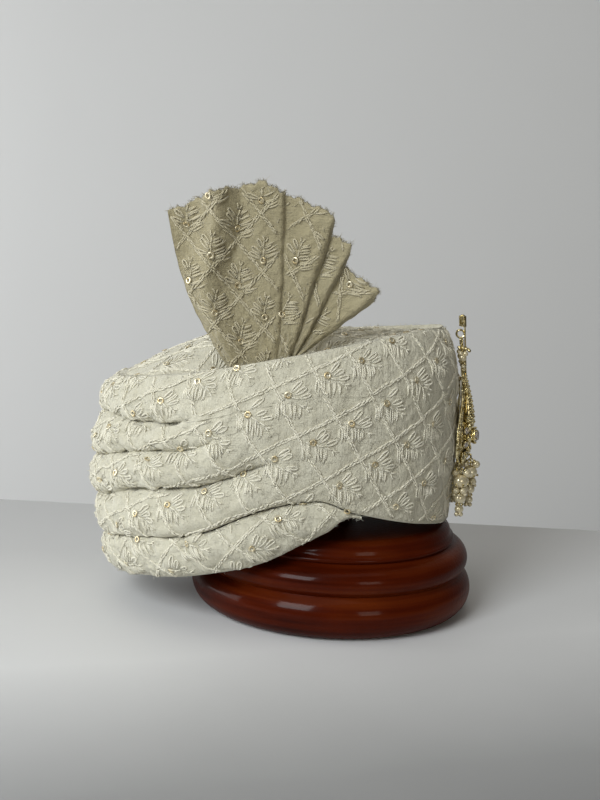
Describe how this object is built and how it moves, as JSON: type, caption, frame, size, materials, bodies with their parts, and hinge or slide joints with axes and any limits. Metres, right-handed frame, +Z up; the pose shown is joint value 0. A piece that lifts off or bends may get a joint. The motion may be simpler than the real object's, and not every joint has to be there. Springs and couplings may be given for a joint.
{
  "type": "tied turban pagri on turned stand",
  "caption": "Tied, embroidered cloth turban with stacked back rolls, a pleated standing fan and a pearl drop brooch at the front, set on a turned wooden stand.",
  "frame": {"origin": "Middle of the stand's flat foot, on the surface it rests on", "axes": "+X is the turban's front, where the brooch is pinned; +Z is up; the fan stands on the -Y side"},
  "size_m": [0.2675, 0.2089, 0.2868],
  "materials": {
    "cloth": "ivory cotton and silk, corded and embroidered",
    "lacquer": "dark red glossy lacquer",
    "gold": "polished gilt",
    "pearl": "pearl lustre",
    "stone": "cut, clear"
  },
  "bodies": {
    "root": {"stand": "lacquer", "stand_post": "lacquer", "wrap": "cloth", "lower_roll": "cloth", "crown": "cloth", "turra_fan": "cloth", "brooch_frame": "gold", "brooch_stone": "stone", "pearl_flower": "pearl", "drop_near": "pearl", "drop_middle": "pearl", "drop_far": "pearl"}
  },
  "joints": []
}
